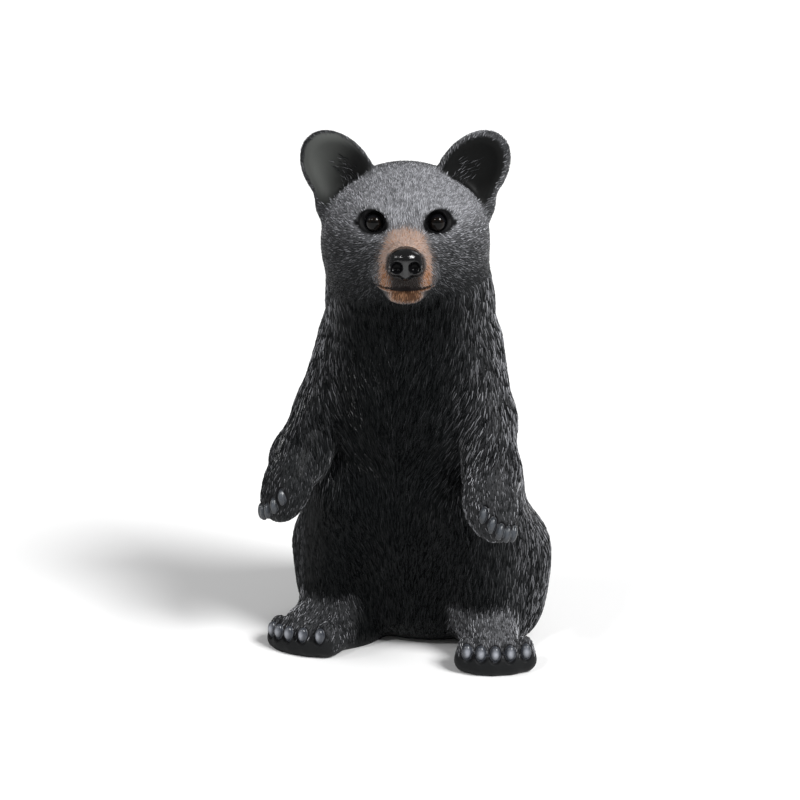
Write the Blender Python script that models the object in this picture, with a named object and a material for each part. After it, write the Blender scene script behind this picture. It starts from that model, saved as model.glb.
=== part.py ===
"""Resin bear statue: a sitting young black bear with its arms hanging free and its head turned to its left.

The figure is one hollow-cast solid with a flat underside. Two glass eyes are set into round sockets in the face.
The origin is at the middle of the underside, the belly looks along -Y and +Z is up. Every form of the figure is
a share of its height: the figures below are in units of HEIGHT / TALL, and a pair is given on the +X side.
"""
import math

import bmesh
import bpy
import numpy as np
from mathutils import Matrix, Vector

# Driving sizes in metres.
HEIGHT = 0.500
EYE_DIAMETER = 0.016
EYE_CLEARANCE = 0.0003
SURFACE_GRID = 0.0026
BEAR_TRIANGLES = 8700
EYE_ROUNDNESS = 3

# The figure's own measure: the statue is this many units tall, from its soles to the tips of its ears.
TALL = 516.6
UNIT = HEIGHT / TALL

# The head: where its middle is, how far it is turned, and where the eyes sit (right, back and up of its middle).
HEAD_CENTRE = (-1.0, -58.0, 422.0)
HEAD_TURN = math.radians(15)
HEAD_NOD = math.radians(7)
EYE = (28.4, -59.0, 26.2)

# Hands and feet. Digits run from the inner one to the outer one along a bowed row.
DIGITS = 5
HAND_CENTRE = (100, -130, 179)
HAND_RADII = (24.0, 16.0, 32.0)
HAND_TURN = (math.radians(-14), math.radians(-22), math.radians(20))
HAND_DIGITS = ((-0.36, 0.0), (0.44, -0.88), (-0.06, -0.20))
CLAW_TURN = (math.radians(-14), math.radians(14), math.radians(20))
FINGER_RADII = (6.4, 6.0, 13.0)
HAND_CLAW = (3.6, 4.2, 8.0)
TOE_RADII = (8.4, 12.0, 18.5)
SOLE_RADIUS = 11.5
FOOT_CLAW = (4.9, 4.4, 7.6)
# Each foot: the first and last toe, the bow of their row, how far it is splayed, and where its heel is.
LEFT_FOOT = ((72, -101, 17), (127, -85, 17), (0, -6, 0), math.radians(16), (78, -38, 22))
RIGHT_FOOT = ((-69, -105, 18), (-124.5, -87, 12), (-6, -4, 0), math.radians(-24), (-74, -40, 20))


def turned(about_x, about_y, about_z):
    """Rotation whose columns are a form's own axes."""
    m = Matrix.Rotation(about_z, 3, "Z") @ Matrix.Rotation(about_y, 3, "Y") @ Matrix.Rotation(about_x, 3, "X")
    return np.array(m)


def row(first, last, bow):
    """The places of the digits, from the first to the last, bowed in the middle."""
    first, last, bow = (np.array(v, float) for v in (first, last, bow))
    for i in range(DIGITS):
        t = i / (DIGITS - 1)
        yield first + (last - first) * t + bow * math.sin(math.pi * t)


def mass(centre, radii, soft, turn=None):
    return ("mass", (np.array(centre, float), np.array(radii, float), turn), soft)


def hollow(centre, radii, soft, turn=None):
    return ("hollow", (np.array(centre, float), np.array(radii, float), turn), soft)


def limb(start, start_radius, end, end_radius, soft):
    return ("limb", (np.array(start, float), start_radius, np.array(end, float), end_radius), soft)


def torso_forms():
    return [
        mass((0, 18, 80), (112, 92, 92), 1),
        mass((0, 16, 38), (104, 82, 40), 36),
        mass((0, -6, 150), (106, 91, 100), 26),
        mass((0, -38, 250), (88, 70, 90), 26),
        mass((0, -42, 318), (82, 62, 78), 26),
        mass((0, -46, 362), (79, 62, 50), 22),
    ]


def leg_forms():
    return [
        limb((77, 0, 86), 57, (56, -70, 162), 33, 1),
        mass((84, 0, 32), (42, 52, 44), 34),
        limb((56, -70, 158), 32, (80, -50, 42), 31, 16),
    ]


def foot_forms(first, last, bow, splay, heel):
    """One foot: its instep, its rounded sole under a row of toes, and a claw lying on each toe."""
    turn = turned(0, 0, splay)
    places = list(row(first, last, bow))
    middle = turn @ np.array((0, 19, 2)) + places[DIGITS // 2]
    forms = [
        limb(heel, 27, middle, 25, 1),
        limb(places[0] + (0, 3, -6), SOLE_RADIUS, places[2] + (0, 3, -6), SOLE_RADIUS, 8),
        limb(places[2] + (0, 3, -6), SOLE_RADIUS, places[4] + (0, 3, -6), SOLE_RADIUS, 4),
    ]
    for place in places:
        forms.append(mass(place, TOE_RADII, 5, turn))
    for place in places:
        forms.append(mass(place + turn @ np.array((0, -10.0, 6.5)), FOOT_CLAW, 1.5, turn))
    return forms


def arm_forms():
    turn = turned(*HAND_TURN)
    forms = [
        limb((59, -44, 312), 31, (79, -64, 244), 28, 1),
        limb((79, -64, 244), 28, (95, -102, 204), 25, 12),
        limb((95, -102, 204), 25, (98, -120, 190), 22, 12),
        mass(HAND_CENTRE, HAND_RADII, 10, turn),
    ]
    digits = []
    for across, along in row(*HAND_DIGITS):
        front = math.sqrt(max(0.04, 1.0 - across * across - along * along))
        digits.append(np.array((across, -front, along)) * HAND_RADII)
    for place in digits:
        forms.append(mass(HAND_CENTRE + turn @ (place * 0.84 + (0, 0, 5.0)), FINGER_RADII, 5, turn))
    for place in digits:
        forms.append(mass(HAND_CENTRE + turn @ (place + (0, -2.4, -1.0)), HAND_CLAW, 1.2, turned(*CLAW_TURN)))
    return forms


def turned_foot_forms():
    """The right foot is turned out further, so its heel swells inward."""
    return [
        mass((-56, -46, 16), (32, 40, 26), 1),
        limb((-66, -90, 15), 16, (-56, -50, 16), 24, 12),
    ]


def head_forms():
    """The head's forms are to the right, back and up of its middle."""
    x, y, z = EYE
    return [
        mass((0, 0, 0), (77, 74, 64), 1),
        mass((34, -6, -24), (40, 48, 42), 20),
        mass((18, -48, 30), (22, 20, 18), 16),
        limb((0, -42, -8), 34, (0, -80, -6), 20, 18),
        mass((13, -74, -18), (17, 24, 14), 8),
        mass((0, -66, -34), (20, 27, 12), 5),
        hollow((x + 2, y - 17, z), (14, 17, 12), 10),
        mass((x, y, z), (11.5, 5.0, 10.5), 3),
        mass((0, -93, 2), (14, 12, 9.5), 2),
        mass((7, -95, -4), (8.5, 11, 9), 3),
        mass((0, -94, -10), (8, 10, 7), 4),
        hollow((7, -107, -4), (3.6, 5, 4.0), 1.5),
    ]


def ear_forms():
    turn = turned(math.radians(6), math.radians(36), math.radians(16))
    return [
        mass((62, 6, 55), (32, 13, 43), 1, turn),
        mass((71, 5, 26), (13, 11, 20), 8),
        hollow((64, -14, 59), (27.5, 20, 37), 4, turn),
    ]


# The figure's parts: the frame they are in, their forms, and the fillet to the parts before them.
PARTS = [
    ("whole", torso_forms(), 1),
    ("pair", leg_forms(), 16),
    ("whole", foot_forms(*LEFT_FOOT), 14),
    ("whole", foot_forms(*RIGHT_FOOT), 14),
    ("whole", turned_foot_forms(), 12),
    ("pair", arm_forms(), 12),
    ("head", head_forms(), 20),
    ("head", ear_forms(), 7),
]
HEAD_AXES = turned(HEAD_NOD, 0.0, HEAD_TURN)


def join(a, b, soft):
    """Union of two distances with a fillet about this soft."""
    h = np.maximum(soft - np.abs(a - b), 0.0) / soft
    return np.minimum(a, b) - h * h * soft / 4.0


def distance(kind, sizes, p):
    """Distance from points to one form, close to exact near its surface."""
    if kind == "limb":
        start, r0, end, r1 = sizes
        along = end - start
        t = np.clip(((p - start) @ along) / (along @ along), 0.0, 1.0)
        return np.linalg.norm(p - start - t[:, None] * along, axis=1) - (r0 + t * (r1 - r0))
    centre, radii, turn = sizes
    q = p - centre
    if turn is not None:
        q = q @ turn
    k0 = np.linalg.norm(q / radii, axis=1)
    k1 = np.linalg.norm(q / (radii * radii), axis=1) + 1e-9
    return k0 * (k0 - 1.0) / k1


def figure(p):
    """Signed distance from points to the whole figure, in its own units."""
    body = np.column_stack([np.abs(p[:, 0]), p[:, 1], p[:, 2]])
    head = (p - np.array(HEAD_CENTRE)) @ HEAD_AXES
    head[:, 0] = np.abs(head[:, 0])
    whole = None
    frames = {"whole": p, "pair": body, "head": head}
    for frame, forms, part_soft in PARTS:
        q = frames[frame]
        part = None
        for kind, sizes, soft in forms:
            d = distance(kind, sizes, q)
            if part is None:
                part = d
            elif kind == "hollow":
                part = -join(-part, d, soft)
            else:
                part = join(part, d, soft)
        whole = part if whole is None else join(whole, part, part_soft)
    return whole


def settle(p, rounds):
    """Moves points onto the figure's surface."""
    for _ in range(rounds):
        g = np.empty_like(p)
        for axis in range(3):
            step = np.zeros(3)
            step[axis] = 0.4
            g[:, axis] = (figure(p + step) - figure(p - step)) / 0.8
        p = p - g * (figure(p) / np.maximum((g * g).sum(axis=1), 0.25))[:, None]
    return p


def rough_masses():
    """All the figure's masses as overlapping closed balls, in units."""
    bm = bmesh.new()
    for frame, forms, _ in PARTS:
        for kind, sizes, _ in forms:
            if kind == "hollow":
                continue
            balls = []
            if kind == "limb":
                start, r0, end, r1 = sizes
                steps = max(2, int(np.linalg.norm(end - start) / 6))
                for i in range(steps + 1):
                    t = i / steps
                    balls.append((start + (end - start) * t, np.full(3, r0 + (r1 - r0) * t), np.eye(3)))
            else:
                centre, radii, turn = sizes
                balls.append((centre, radii, np.eye(3) if turn is None else turn))
            for centre, radii, turn in balls:
                for side in (1, -1) if frame != "whole" and centre[0] else (1,):
                    mirror = np.diag((side, 1, 1))
                    place = mirror @ centre
                    axes = mirror @ turn @ mirror
                    if frame == "head":
                        place = np.array(HEAD_CENTRE) + HEAD_AXES @ place
                        axes = HEAD_AXES @ axes
                    at = Matrix.Translation(Vector(place)) @ Matrix(axes.tolist()).to_4x4()
                    bmesh.ops.create_icosphere(
                        bm, subdivisions=3, radius=1.0, matrix=at @ Matrix.Diagonal((*radii, 1.0))
                    )
    return bm


def evaluated(obj):
    """The object's mesh with its modifiers."""
    graph = bpy.context.evaluated_depsgraph_get()
    return bpy.data.meshes.new_from_object(obj.evaluated_get(graph))


def new_object(name, mesh):
    obj = bpy.data.objects.new(name, mesh)
    bpy.context.scene.collection.objects.link(obj)
    return obj


def material(name, colour, roughness):
    mat = bpy.data.materials.new(name)
    mat.use_nodes = True
    shader = mat.node_tree.nodes["Principled BSDF"]
    shader.inputs["Base Color"].default_value = (*colour, 1.0)
    shader.inputs["Roughness"].default_value = roughness
    shader.inputs["Metallic"].default_value = 0.0
    mat.diffuse_color = (*colour, 1.0)
    return mat


def cast_figure():
    """The figure's closed mesh in metres, settled on its forms, thinned, and cut flat at its underside."""
    bm = rough_masses()
    mesh = bpy.data.meshes.new("masses")
    bm.to_mesh(mesh)
    bm.free()
    mesh.transform(Matrix.Scale(UNIT, 4))
    rough = new_object("masses", mesh)
    remesh = rough.modifiers.new("one skin", "REMESH")
    remesh.mode = "VOXEL"
    remesh.voxel_size = SURFACE_GRID
    skin = evaluated(rough)
    bpy.data.objects.remove(rough)

    for rounds in (3, 1, 1):
        points = np.empty(len(skin.vertices) * 3)
        skin.vertices.foreach_get("co", points)
        points = settle(points.reshape(-1, 3) / UNIT, rounds)
        skin.vertices.foreach_set("co", (points * UNIT).ravel())
        bm = bmesh.new()
        bm.from_mesh(skin)
        for _ in range(3):
            bmesh.ops.smooth_vert(bm, verts=bm.verts, factor=0.5, use_axis_x=True, use_axis_y=True, use_axis_z=True)
        bm.to_mesh(skin)
        bm.free()
    points = np.empty(len(skin.vertices) * 3)
    skin.vertices.foreach_get("co", points)
    skin.vertices.foreach_set("co", (settle(points.reshape(-1, 3) / UNIT, 1) * UNIT).ravel())
    skin.update()
    dense = new_object("dense", skin)
    thin = dense.modifiers.new("thinned", "DECIMATE")
    triangles = sum(len(face.vertices) - 2 for face in skin.polygons)
    thin.ratio = BEAR_TRIANGLES / triangles
    mesh = evaluated(dense)
    bpy.data.objects.remove(dense)

    bm = bmesh.new()
    bm.from_mesh(mesh)
    cut = bmesh.ops.bisect_plane(
        bm, geom=bm.verts[:] + bm.edges[:] + bm.faces[:], dist=1e-6, plane_co=(0, 0, 0), plane_no=(0, 0, -1),
        clear_outer=True,
    )
    edges = [e for e in cut["geom_cut"] if isinstance(e, bmesh.types.BMEdge)]
    bmesh.ops.holes_fill(bm, edges=edges, sides=0)
    bmesh.ops.dissolve_degenerate(bm, dist=1e-5, edges=bm.edges[:])
    bmesh.ops.triangulate(bm, faces=bm.faces[:])
    bmesh.ops.recalc_face_normals(bm, faces=bm.faces[:])
    low, high = (Vector(pick(v.co[i] for v in bm.verts) for i in range(3)) for pick in (min, max))
    middle = Vector(((low.x + high.x) / 2, (low.y + high.y) / 2, 0.0))
    bm.to_mesh(mesh)
    bm.free()
    mesh.transform(Matrix.Translation(-middle))
    return mesh, middle


def eye_place(side, middle):
    """Middle of one eye, in metres from the middle of the underside."""
    place = np.array(HEAD_CENTRE) + HEAD_AXES @ (np.array(EYE) * np.array((side, 1, 1)))
    return Vector(place * UNIT) - middle


def ball_mesh(name, radius, rings):
    bm = bmesh.new()
    bmesh.ops.create_icosphere(bm, subdivisions=rings, radius=radius)
    mesh = bpy.data.meshes.new(name)
    bm.to_mesh(mesh)
    bm.free()
    mesh.shade_smooth()
    return mesh


for old in list(bpy.data.objects):
    bpy.data.objects.remove(old, do_unlink=True)

resin = material("cast resin", (0.018, 0.019, 0.022), 0.5)
glass = material("eye glass", (0.012, 0.006, 0.004), 0.08)

figure_mesh, middle = cast_figure()
bear = new_object("bear", figure_mesh)
bear.data.name = "bear"
bear.data.materials.clear()
bear.data.materials.append(resin)
bear.data.shade_smooth()

for name, side in (("eye_left", 1), ("eye_right", -1)):
    eye = new_object(name, ball_mesh(name, EYE_DIAMETER / 2, EYE_ROUNDNESS))
    eye.data.materials.append(glass)
    eye.location = eye_place(side, middle)

    socket = new_object(f"{name}_socket", ball_mesh(f"{name}_socket", EYE_DIAMETER / 2 + EYE_CLEARANCE, EYE_ROUNDNESS))
    socket.location = eye_place(side, middle)
    socket.hide_render = True
    socket.display_type = "WIRE"
    cut = bear.modifiers.new(f"socket for {name}", "BOOLEAN")
    cut.operation = "DIFFERENCE"
    cut.object = socket
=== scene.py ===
"""Resin bear statue: a sitting young black bear with carved fur, set-in glass eyes and a gloss nose."""
import math

import bmesh
import bpy
import numpy as np
from mathutils import Matrix, Vector


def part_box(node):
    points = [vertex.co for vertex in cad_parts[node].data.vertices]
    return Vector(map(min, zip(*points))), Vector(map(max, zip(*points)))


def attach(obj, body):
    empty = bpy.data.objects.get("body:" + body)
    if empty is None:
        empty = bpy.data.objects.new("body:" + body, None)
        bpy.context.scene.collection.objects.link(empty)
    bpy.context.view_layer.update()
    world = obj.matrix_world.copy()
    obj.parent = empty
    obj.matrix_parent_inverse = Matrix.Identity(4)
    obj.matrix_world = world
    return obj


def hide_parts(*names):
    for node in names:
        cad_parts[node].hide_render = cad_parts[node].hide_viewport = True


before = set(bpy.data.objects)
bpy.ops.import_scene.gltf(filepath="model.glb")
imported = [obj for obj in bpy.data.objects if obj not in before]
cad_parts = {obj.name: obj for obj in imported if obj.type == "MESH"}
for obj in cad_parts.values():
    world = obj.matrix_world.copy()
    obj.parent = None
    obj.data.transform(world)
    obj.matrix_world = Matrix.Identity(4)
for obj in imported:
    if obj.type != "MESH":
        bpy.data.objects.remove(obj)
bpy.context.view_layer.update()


# The casting. The whole bear is one hollow casting of filled resin, flat underneath, with ears, claws, nose
# and mouth in one with it. It stands loose on the ground by its own weight.
# Its forms are in the figure's own measure, a share of its height; a pair is given on the bear's left side.
HEIGHT = 0.500
TALL = 516.6
UNIT = HEIGHT / TALL
HEAD_CENTRE = (-1.0, -58.0, 422.0)
HEAD_TURN = math.radians(15)
HEAD_NOD = math.radians(7)
EYE = (28.4, -59.0, 26.2)
EYE_DIAMETER = 0.016
DIGITS = 5
HAND_CENTRE = (100, -130, 179)
HAND_RADII = (24.0, 16.0, 32.0)
HAND_TURN = (math.radians(-14), math.radians(-22), math.radians(20))
HAND_DIGITS = ((-0.36, 0.0), (0.44, -0.88), (-0.06, -0.20))
CLAW_TURN = (math.radians(-14), math.radians(14), math.radians(20))
FINGER_RADII = (6.4, 6.0, 13.0)
HAND_CLAW = (3.5, 4.2, 8.0)
TOE_RADII = (8.4, 12.0, 15.5)
SOLE_RADIUS = 11.6
FOOT_CLAW = (4.9, 4.4, 7.6)
LEFT_FOOT = ((72, -101, 17), (127, -85, 17), (0, -6, 0), math.radians(16), (78, -38, 22))
RIGHT_FOOT = ((-69, -105, 18), (-124.5, -87, 12), (-6, -4, 0), math.radians(-24), (-74, -40, 20))


def turned(about_x, about_y, about_z):
    """Rotation whose columns are a form's own axes."""
    aside_and_round = Matrix.Rotation(about_z, 3, "Z") @ Matrix.Rotation(about_y, 3, "Y")
    return np.array(aside_and_round @ Matrix.Rotation(about_x, 3, "X"))


def row(first, last, bow):
    """The places of the digits, from the first to the last, bowed in the middle."""
    first, last, bow = (np.array(v, float) for v in (first, last, bow))
    for i in range(DIGITS):
        t = i / (DIGITS - 1)
        yield first + (last - first) * t + bow * math.sin(math.pi * t)


def mass(centre, radii, soft, turn=None):
    return ("mass", (np.array(centre, float), np.array(radii, float), turn), soft)


def hollow(centre, radii, soft, turn=None):
    return ("hollow", (np.array(centre, float), np.array(radii, float), turn), soft)


def limb(start, start_radius, end, end_radius, soft):
    return ("limb", (np.array(start, float), start_radius, np.array(end, float), end_radius), soft)


def groove(start, start_radius, end, end_radius, soft):
    return ("groove", (np.array(start, float), start_radius, np.array(end, float), end_radius), soft)


def torso_forms():
    return [
        mass((0, 18, 80), (112, 92, 92), 1),
        mass((0, 16, 38), (104, 82, 40), 36),
        mass((0, -6, 150), (106, 91, 100), 26),
        mass((0, -38, 250), (88, 70, 90), 26),
        mass((0, -42, 318), (82, 62, 78), 26),
        mass((0, -46, 362), (79, 62, 50), 22),
    ]


def leg_forms():
    return [
        limb((77, 0, 86), 57, (56, -70, 162), 33, 1),
        mass((84, 0, 32), (42, 52, 44), 34),
        limb((56, -70, 158), 32, (80, -50, 42), 31, 16),
    ]


def foot_claws(first, last, bow, splay, heel):
    """Each foot claw's place and the foot's own axes."""
    turn = turned(0, 0, splay)
    return [(place + turn @ np.array((0, -10.0, 6.5)), turn) for place in row(first, last, bow)]


def foot_forms(first, last, bow, splay, heel):
    """One foot: its instep, its rounded sole under a row of toes, and a claw sunk in each toe."""
    turn = turned(0, 0, splay)
    places = list(row(first, last, bow))
    middle = turn @ np.array((0, 19, 2)) + places[DIGITS // 2]
    forms = [limb(heel, 27, middle, 25, 1)]
    under_toe = (0, -1, -6)
    for a, b in zip(places, places[1:]):
        forms.append(limb(a + under_toe, SOLE_RADIUS, b + under_toe, SOLE_RADIUS, 8))
    for place in places:
        forms.append(mass(place + (0, 0, 1.5), TOE_RADII, 5, turn))
    for a, b in zip(places, places[1:]):
        between = (a + b) / 2
        crease = between + turn @ np.array((0, -11.5, 3))
        forms.append(groove(crease, 1.6, between + turn @ np.array((0, 4, 19)), 0.8, 2.5))
    for place, turn in foot_claws(first, last, bow, splay, heel):
        forms.append(hollow(place + turn @ np.array((0, -3.4, 0.4)), (6.6, 4.4, 10.2), 1.2, turn))
        forms.append(mass(place, FOOT_CLAW, 0.7, turn))
    return forms


def hand_digits():
    """The places of the fingertips on the hand, from its middle, in its own axes."""
    for across, along in row(*HAND_DIGITS):
        front = math.sqrt(max(0.04, 1.0 - across * across - along * along))
        yield np.array((across, -front, along)) * HAND_RADII


def hand_claws():
    turn = turned(*HAND_TURN)
    return [(HAND_CENTRE + turn @ (place + (0, -2.2, -1.0)), turned(*CLAW_TURN)) for place in hand_digits()]


def arm_forms():
    turn = turned(*HAND_TURN)
    forms = [
        limb((59, -44, 312), 31, (79, -64, 244), 28, 1),
        limb((79, -64, 244), 28, (95, -102, 204), 25, 12),
        limb((95, -102, 204), 25, (98, -120, 190), 22, 12),
        mass(HAND_CENTRE, HAND_RADII, 10, turn),
    ]
    for place in hand_digits():
        forms.append(mass(HAND_CENTRE + turn @ (place * 0.84 + (0, 0, 5.0)), FINGER_RADII, 5, turn))
    for place, turn in hand_claws():
        forms.append(hollow(place + turn @ np.array((0, -2.4, 0.6)), (4.6, 4.0, 9.6), 1.0, turn))
        forms.append(mass(place, HAND_CLAW, 0.7, turn))
    return forms


def turned_foot_forms():
    """The right foot is turned out further, so its heel swells inward."""
    return [
        mass((-56, -46, 16), (32, 40, 26), 1),
        limb((-66, -90, 15), 16, (-56, -50, 16), 24, 12),
    ]


NOSTRIL = hollow((8.0, -106.5, -1.8), (5.4, 7.8, 5.5), 1.2)


def nose_forms():
    return [
        mass((0, -93, 3), (14.5, 12.5, 9.8), 2),
        mass((8, -95.5, -3.5), (7.6, 10.6, 8.8), 2.5),
        mass((0, -95, -7), (6.5, 10, 8.5), 3),
    ]


def head_forms():
    """The head's forms are to the right, back and up of its middle."""
    x, y, z = EYE
    ball = EYE_DIAMETER / 2 / UNIT
    return [
        mass((0, 0, 0), (77, 74, 64), 1),
        mass((34, -6, -24), (40, 48, 42), 20),
        mass((18, -48, 30), (22, 20, 18), 16),
        limb((0, -42, -8), 34, (0, -80, -6), 20, 18),
        mass((13, -74, -18), (17, 24, 14), 8),
        mass((0, -66, -34), (20, 27, 12), 5),
        hollow((x + 2, y - 17, z), (14, 17, 12), 10),
        mass((x, y, z), (11.5, 6.0, 10.5), 3),
        mass((x, y + 0.6, z + 0.4), (ball + 1.6,) * 3, 2.0),
        hollow((x + 0.2, y - 8.4, z + 2.6), (ball + 1.6, 11.0, ball + 2.6), 0.8),
        hollow((x, y, z), (ball + 0.3,) * 3, 0.4),
        *nose_forms(),
        NOSTRIL,
        groove((9.0, -106, -3.0), 2.6, (16.5, -97, -7.0), 1.2, 1.2),
        groove((0, -107.5, -1), 0.7, (0, -105, -14), 1.2, 1.2),
        groove((0, -104.5, -15), 1.0, (0, -96, -27), 1.3, 1.4),
        groove((0, -95.5, -27), 1.9, (20.5, -91, -25), 1.9, 1.5),
        groove((20.5, -91, -25), 1.9, (31, -74, -22), 2.0, 1.5),
    ]


def ear_forms():
    turn = turned(math.radians(6), math.radians(36), math.radians(16))
    return [
        mass((62, 6, 55), (32, 13, 43), 1, turn),
        mass((71, 5, 26), (13, 11, 20), 8),
        hollow((64, -14, 59), (27.5, 20, 37), 4, turn),
    ]


# The figure's parts: the frame they are in, their forms, and the fillet to the parts before them.
PARTS = [
    ("whole", torso_forms(), 1),
    ("pair", leg_forms(), 16),
    ("whole", foot_forms(*LEFT_FOOT), 14),
    ("whole", foot_forms(*RIGHT_FOOT), 14),
    ("whole", turned_foot_forms(), 12),
    ("pair", arm_forms(), 12),
    ("head", head_forms(), 20),
    ("head", ear_forms(), 7),
]
HEAD_AXES = turned(HEAD_NOD, 0.0, HEAD_TURN)


def join(a, b, soft):
    """Union of two distances with a fillet about this soft."""
    h = np.maximum(soft - np.abs(a - b), 0.0) / soft
    return np.minimum(a, b) - h * h * soft / 4.0


def distance(kind, sizes, p):
    """Distance from points to one form, close to exact near its surface."""
    if kind in ("limb", "groove"):
        start, r0, end, r1 = sizes
        along = end - start
        t = np.clip(((p - start) @ along) / (along @ along), 0.0, 1.0)
        return np.linalg.norm(p - start - t[:, None] * along, axis=1) - (r0 + t * (r1 - r0))
    centre, radii, turn = sizes
    q = p - centre
    if turn is not None:
        q = q @ turn
    k0 = np.linalg.norm(q / radii, axis=1)
    k1 = np.linalg.norm(q / (radii * radii), axis=1) + 1e-9
    return k0 * (k0 - 1.0) / k1


def frames_of(p):
    """The points in each frame: as they are, mirrored to the left side, and in the head's own axes."""
    body = np.column_stack([np.abs(p[:, 0]), p[:, 1], p[:, 2]])
    head = (p - np.array(HEAD_CENTRE)) @ HEAD_AXES
    head[:, 0] = np.abs(head[:, 0])
    return {"whole": p, "pair": body, "head": head}


def part_distance(forms, q):
    part = None
    for kind, sizes, soft in forms:
        d = distance(kind, sizes, q)
        if part is None:
            part = d
        elif kind in ("hollow", "groove"):
            part = -join(-part, d, soft)
        else:
            part = join(part, d, soft)
    return part


def figure(p):
    """Signed distance from points to the whole figure, in its own units."""
    frames = frames_of(p)
    whole = None
    for name, forms, part_soft in PARTS:
        part = part_distance(forms, frames[name])
        whole = part if whole is None else join(whole, part, part_soft)
    return whole


def slope(p):
    """The way straight out of the figure, from small shifts each way along each axis."""
    reach = 0.3
    g = np.empty_like(p)
    for axis in range(3):
        shift = np.zeros(3)
        shift[axis] = reach
        g[:, axis] = (figure(p + shift) - figure(p - shift)) / (2 * reach)
    return g


def settle(p, rounds):
    """Moves points onto the figure's surface."""
    for _ in range(rounds):
        g = slope(p)
        p = p - g * (figure(p) / np.maximum((g * g).sum(axis=1), 0.25))[:, None]
    return p


def rough_masses():
    """All the figure's masses as overlapping closed balls, in units."""
    bm = bmesh.new()
    for name, forms, _ in PARTS:
        for kind, sizes, _ in forms:
            if kind in ("hollow", "groove"):
                continue
            balls = []
            if kind == "limb":
                start, r0, end, r1 = sizes
                steps = max(2, int(np.linalg.norm(end - start) / 6))
                for i in range(steps + 1):
                    t = i / steps
                    balls.append((start + (end - start) * t, np.full(3, r0 + (r1 - r0) * t), np.eye(3)))
            else:
                centre, radii, turn = sizes
                balls.append((centre, radii, np.eye(3) if turn is None else turn))
            for centre, radii, turn in balls:
                for side in (1, -1) if name != "whole" and centre[0] else (1,):
                    mirror = np.diag((side, 1, 1))
                    place = mirror @ centre
                    axes = mirror @ turn @ mirror
                    if name == "head":
                        place = np.array(HEAD_CENTRE) + HEAD_AXES @ place
                        axes = HEAD_AXES @ axes
                    at = Matrix.Translation(Vector(place)) @ Matrix(axes.tolist()).to_4x4()
                    bmesh.ops.create_icosphere(
                        bm, subdivisions=3, radius=1.0, matrix=at @ Matrix.Diagonal((*radii, 1.0))
                    )
    return bm


def relax(bm, verts, share):
    """Evens out the spacing of points on a skin."""
    bmesh.ops.smooth_vert(
        bm, verts=verts, factor=share, use_axis_x=True, use_axis_y=True, use_axis_z=True
    )


def new_piece(name, mesh):
    obj = bpy.data.objects.new(name, mesh)
    bpy.context.scene.collection.objects.link(obj)
    return obj


def evaluated(obj):
    """The object's mesh with its modifiers."""
    graph = bpy.context.evaluated_depsgraph_get()
    return bpy.data.meshes.new_from_object(obj.evaluated_get(graph))


def points_of(mesh):
    co = np.empty(len(mesh.vertices) * 3)
    mesh.vertices.foreach_get("co", co)
    return co.reshape(-1, 3)


def head_place(x, y, z):
    """A place given in the head's own axes, in the figure's units."""
    return np.array(HEAD_CENTRE) + HEAD_AXES @ np.array((x, y, z), float)


CASTING_GRID = 0.0030
claw_places = [p for p, _ in foot_claws(*LEFT_FOOT)] + [p for p, _ in foot_claws(*RIGHT_FOOT)]
claw_places += [p * (side, 1, 1) for p, _ in hand_claws() for side in (1, -1)]
eye_places = [head_place(EYE[0] * side, EYE[1], EYE[2]) for side in (1, -1)]
# Places where the casting's mesh is made finer, twice over: the reach of each round, in units.
FINE = [
    [(head_place(0, -78, -6), 46), *((p, 27) for p in eye_places), *((p, 22) for p in claw_places)],
    [(head_place(0, -97, -4), 22), (head_place(0, -90, -27), 15),
     (head_place(20, -84, -24), 13), (head_place(-20, -84, -24), 13),
     *((p, 13.5) for p in eye_places), *((p, 11) for p in claw_places)],
]


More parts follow.
